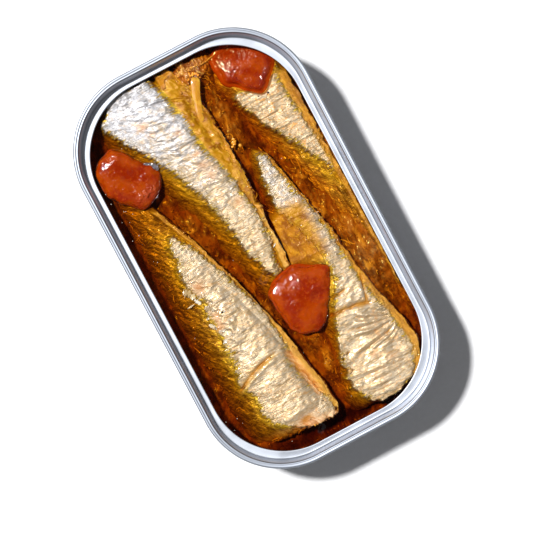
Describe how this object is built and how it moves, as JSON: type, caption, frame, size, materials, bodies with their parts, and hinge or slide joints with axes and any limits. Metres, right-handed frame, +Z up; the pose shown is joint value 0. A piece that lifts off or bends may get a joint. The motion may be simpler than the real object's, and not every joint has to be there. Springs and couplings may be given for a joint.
{
  "type": "opened sardine tin",
  "caption": "Shallow oblong aluminium tin, opened, its lid's ring left on, with sardines and tomato pieces packed in orange oil.",
  "frame": {"origin": "middle of the flat rim under the base, on the surface that the tin stands on", "axes": "+Z up out of the open top, Y along the tin, X across it"},
  "size_m": [0.0624, 0.106, 0.023],
  "materials": {
    "can": "smooth drawn aluminium, faintly brushed",
    "ring": "bright rolled aluminium",
    "fish": "wet silver fish skin, gold under the oil",
    "tomato": "wet skinned tomato, glossy",
    "fin": "wet translucent fin",
    "flesh": "flaked fish flesh in oil",
    "oil": "clear orange oil"
  },
  "bodies": {
    "root": {"can_body": "can", "lid_ring": "ring", "sardine_1": "fish", "sardine_2": "fish", "sardine_3": "fish", "sardine_4": "fish", "tomato_1": "tomato", "tomato_2": "tomato", "tomato_3": "tomato", "fin_strip": "fin", "loose_flesh": "flesh", "oil": "oil"}
  },
  "joints": []
}
